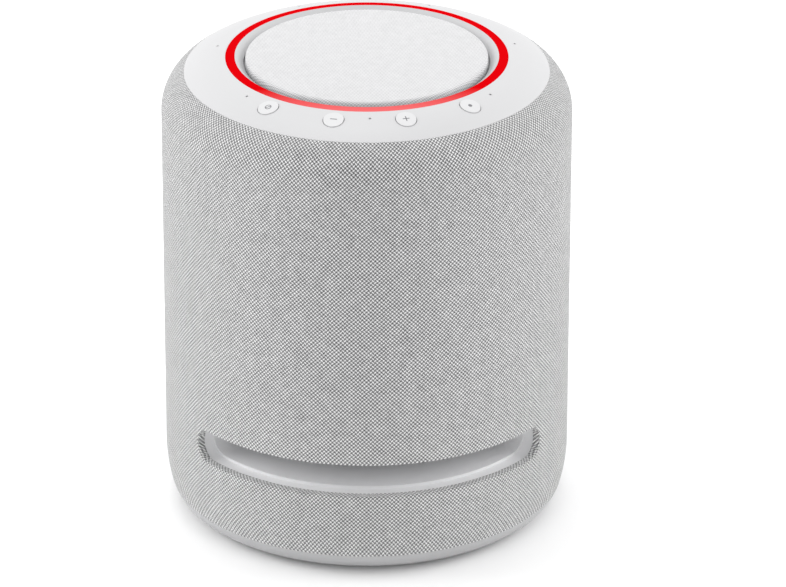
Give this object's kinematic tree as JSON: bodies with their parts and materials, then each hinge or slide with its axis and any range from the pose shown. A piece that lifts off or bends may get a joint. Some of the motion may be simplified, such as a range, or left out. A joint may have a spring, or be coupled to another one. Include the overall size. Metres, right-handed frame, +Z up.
{
  "type": "smart speaker",
  "caption": "Upright drum-shaped voice speaker in a woven sleeve, with a slot-like bass opening through its foot, a lit ring and push buttons round a domed cloth grille on top",
  "frame": {"origin": "centre of the underside of the foot ring, on the axis of the drum", "axes": "+X to the listener's right, +Y to the rear where the sockets are, +Z up; the front faces -Y"},
  "size_m": [0.175, 0.175, 0.206],
  "materials": {
    "rubber_foot": "matt",
    "white_plastic": "fine satin",
    "grey_plastic": "smooth satin",
    "sleeve_fabric": "plain weave",
    "inner_plastic": "matt",
    "socket_plastic": "satin",
    "brass_insert": "turned",
    "steel": "zinc plated",
    "nickel": "bright",
    "ferrite": "sintered",
    "black_paper": "pressed pulp",
    "soft_rubber": "satin",
    "spider_cloth": "resin-set cloth",
    "copper_coil": "lacquered winding",
    "green_board": "solder mask",
    "chip_black": "matt",
    "heat_aluminium": "extruded",
    "capacitor_sleeve": "shrink sleeve",
    "transformer_tape": "polyester tape",
    "dome_silk": "coated silk",
    "red_light": "milky, lit",
    "lamp": "clear lens",
    "button_plastic": "fine satin"
  },
  "bodies": {
    "housing": {"foot_ring": "rubber_foot", "base_plate": "white_plastic", "stand_insert": "brass_insert", "base_screws": "steel", "power_board": "green_board", "power_transformer": "transformer_tape", "power_capacitors": "capacitor_sleeve", "port_panel": "grey_plastic", "mains_inlet": "socket_plastic", "inlet_pins": "nickel", "audio_jack": "socket_plastic", "usb_port": "nickel", "aperture_duct": "grey_plastic", "duct_collar": "grey_plastic", "grille_shell_lower": "white_plastic", "grille_shell_upper": "white_plastic", "fabric_sleeve": "sleeve_fabric", "main_enclosure": "white_plastic", "woofer_basket": "steel", "woofer_screws": "steel", "woofer_top_plate": "steel", "woofer_magnet": "ferrite", "woofer_pole_piece": "steel", "woofer_spider": "spider_cloth", "woofer_surround": "soft_rubber", "left_mid_basket": "steel", "left_mid_surround": "soft_rubber", "left_mid_magnet": "ferrite", "right_mid_basket": "steel", "right_mid_surround": "soft_rubber", "right_mid_magnet": "ferrite", "top_mid_basket": "steel", "top_mid_surround": "soft_rubber", "top_mid_magnet": "ferrite", "tweeter_faceplate": "inner_plastic", "tweeter_magnet": "ferrite", "main_board": "green_board", "main_board_chips": "chip_black", "heat_spreader": "heat_aluminium", "top_frame": "inner_plastic", "top_board": "green_board", "ring_leds": "lamp", "microphones": "nickel", "tact_switches": "socket_plastic", "light_diffuser": "red_light", "inner_bezel": "white_plastic", "top_cap": "white_plastic", "top_grille_plate": "white_plastic", "top_grille_fabric": "sleeve_fabric"},
    "mute_button_body": {"mute_button": "button_plastic"},
    "volume_down_button_body": {"volume_down_button": "button_plastic"},
    "volume_up_button_body": {"volume_up_button": "button_plastic"},
    "action_button_body": {"action_button": "button_plastic"},
    "woofer_moving": {"woofer_cone": "black_paper", "woofer_voice_coil": "copper_coil", "woofer_dust_cap": "black_paper"},
    "left_mid_moving": {"left_mid_cone": "black_paper"},
    "right_mid_moving": {"right_mid_cone": "black_paper"},
    "top_mid_moving": {"top_mid_cone": "black_paper"},
    "tweeter_moving": {"tweeter_dome": "dome_silk"}
  },
  "joints": [
    {"name": "mute_press", "type": "slide", "parent": "housing", "child": "mute_button_body", "axis": [0, 0, -1], "range_m": [0, 0.0006], "stiffness_N_per_m": 1500},
    {"name": "volume_down_press", "type": "slide", "parent": "housing", "child": "volume_down_button_body", "axis": [0, 0, -1], "range_m": [0, 0.0006], "stiffness_N_per_m": 1500},
    {"name": "volume_up_press", "type": "slide", "parent": "housing", "child": "volume_up_button_body", "axis": [0, 0, -1], "range_m": [0, 0.0006], "stiffness_N_per_m": 1500},
    {"name": "action_press", "type": "slide", "parent": "housing", "child": "action_button_body", "axis": [0, 0, -1], "range_m": [0, 0.0006], "stiffness_N_per_m": 1500},
    {"name": "woofer_excursion", "type": "slide", "parent": "housing", "child": "woofer_moving", "axis": [0, 0, -1], "range_m": [-0.005, 0.005], "stiffness_N_per_m": 1250, "deforming": ["woofer_surround", "woofer_spider"]},
    {"name": "left_mid_excursion", "type": "slide", "parent": "housing", "child": "left_mid_moving", "axis": [-1, 0, 0], "range_m": [-0.0015, 0.0015], "stiffness_N_per_m": 1600, "deforming": ["left_mid_surround"]},
    {"name": "right_mid_excursion", "type": "slide", "parent": "housing", "child": "right_mid_moving", "axis": [1, 0, 0], "range_m": [-0.0015, 0.0015], "stiffness_N_per_m": 1600, "deforming": ["right_mid_surround"]},
    {"name": "top_mid_excursion", "type": "slide", "parent": "housing", "child": "top_mid_moving", "axis": [0, 0, 1], "range_m": [-0.0015, 0.0015], "stiffness_N_per_m": 1600, "deforming": ["top_mid_surround"]},
    {"name": "tweeter_excursion", "type": "slide", "parent": "housing", "child": "tweeter_moving", "axis": [0, -1, 0], "range_m": [-0.0003, 0.0003], "stiffness_N_per_m": 3000}
  ]
}
